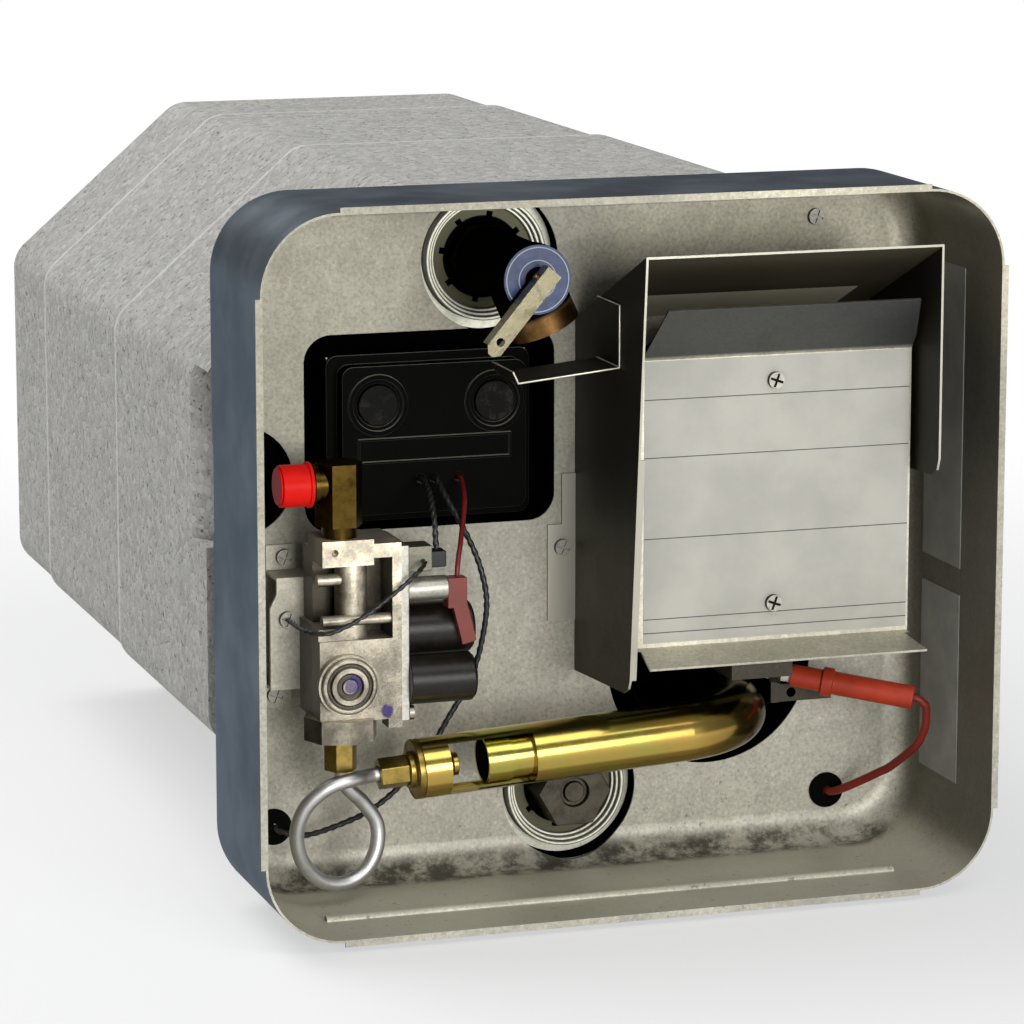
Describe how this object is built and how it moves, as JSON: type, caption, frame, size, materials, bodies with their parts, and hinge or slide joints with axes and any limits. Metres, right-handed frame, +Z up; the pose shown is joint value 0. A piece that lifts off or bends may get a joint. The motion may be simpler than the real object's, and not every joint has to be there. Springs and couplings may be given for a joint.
{
  "type": "caravan gas water heater",
  "caption": "Built-in gas water heater: a pressed control pan with gas valve, burner, flue box, thermostat and relief valve ahead of a foam-clad tank.",
  "frame": {"origin": "centre of the footprint at the height of the underside, where the foam and the lower tab rest", "axes": "+X to the right seen from the front, +Y from the front rim to the rear couplings, +Z up"},
  "size_m": [0.331, 0.51, 0.312],
  "materials": {
    "galvanised_steel": "satin, spangled zinc",
    "flue_steel": "dull zinc, heat stained",
    "bright_steel": "bright",
    "tank_steel": "mill finish",
    "foam": "moulded foam beads, matte",
    "anode_metal": "weathered",
    "relief_brass": "cast, satin",
    "brass": "machined, tarnished",
    "dark_brass": "dark, worn edges",
    "lever_metal": "pale plated",
    "pin_copper": "copper coloured",
    "tag_blue": "smooth",
    "black_rubber": "matte",
    "black_plastic": "smooth",
    "cast_aluminium": "cast with machined faces",
    "tube_aluminium": "drawn, smooth",
    "cap_red": "glossy",
    "yellow_zinc": "yellow passivated, glossy",
    "pale_label": "smooth film",
    "grey_label": "satin film",
    "boot_dark_red": "soft",
    "boot_orange_red": "silicone",
    "lead_red": "silicone",
    "wire_black": "smooth",
    "wire_dark_red": "smooth",
    "white_ceramic": "unglazed"
  },
  "bodies": {
    "heater": {"control_pan": "galvanised_steel", "insulation_upper": "foam", "insulation_lower": "foam", "tank": "tank_steel", "flue_tube": "tank_steel", "cold_inlet": "tank_steel", "hot_outlet": "tank_steel", "anode_rod": "anode_metal", "anode_collar": "bright_steel", "relief_collar": "bright_steel", "relief_body": "relief_brass", "relief_tag": "tag_blue", "thermostat_clip": "bright_steel", "thermostat_disc": "black_plastic", "limit_disc": "black_plastic", "reset_cover": "black_rubber", "drip_shield": "galvanised_steel", "flue_box": "flue_steel", "deflector": "galvanised_steel", "deflector_label": "pale_label", "deflector_bracket": "flue_steel", "deflector_screws": "bright_steel", "wall_label_upper": "grey_label", "wall_label_lower": "grey_label", "gas_valve": "cast_aluminium", "valve_bracket": "galvanised_steel", "valve_plug": "cast_aluminium", "inlet_elbow": "dark_brass", "outlet_nut": "brass", "gas_tube": "tube_aluminium", "tube_nut": "brass", "orifice_holder": "brass", "orifice_jet": "brass", "burner_tube": "yellow_zinc", "coil_yoke": "bright_steel", "coil_lower": "black_plastic", "coil_upper": "black_plastic", "coil_neck": "bright_steel", "connector_block": "bright_steel", "terminal_boots": "boot_dark_red", "electrode": "white_ceramic", "electrode_bracket": "galvanised_steel", "electrode_boot": "boot_orange_red", "ignition_lead": "lead_red", "grommet_left": "black_rubber", "grommet_right": "black_rubber", "wire_main": "wire_black", "wire_red": "wire_dark_red", "wire_link": "wire_black", "wire_ground": "wire_black", "panel_screws": "bright_steel", "valve_screws": "bright_steel"},
    "stem": {"relief_stem": "bright_steel", "lever_pin": "pin_copper"},
    "lever": {"relief_lever": "lever_metal"},
    "left_button": {"reset_button_left": "black_rubber"},
    "right_button": {"reset_button_right": "black_rubber"},
    "cap": {"inlet_cap": "cap_red"},
    "sleeve": {"air_sleeve": "yellow_zinc"}
  },
  "joints": [
    {"name": "stem_lift", "type": "slide", "parent": "heater", "child": "stem", "axis": [0, -1, 0], "range_m": [0, 0.004]},
    {"name": "lever_lift", "type": "hinge", "parent": "stem", "child": "lever", "pos_m": [-0.0365, -0.2345, 0.275], "axis": [-0.766, 0, 0.6428], "range_deg": [0, 90], "stiffness_Nm_per_rad": 0.2},
    {"name": "left_reset", "type": "slide", "parent": "heater", "child": "left_button", "axis": [0, 1, 0], "range_m": [0, 0.0025], "stiffness_N_per_m": 600},
    {"name": "right_reset", "type": "slide", "parent": "heater", "child": "right_button", "axis": [0, 1, 0], "range_m": [0, 0.0025], "stiffness_N_per_m": 600},
    {"name": "cap_pull", "type": "slide", "parent": "heater", "child": "cap", "axis": [-1, 0, 0], "range_m": [0, 0.013]},
    {"name": "sleeve_set", "type": "slide", "parent": "heater", "child": "sleeve", "axis": [0.9982, 0, 0.0593], "range_m": [-0.006, 0.004]}
  ],
  "couplings": [
    {"joint": "stem_lift", "follows": "lever_lift", "m_per_rad": 0.002546}
  ]
}
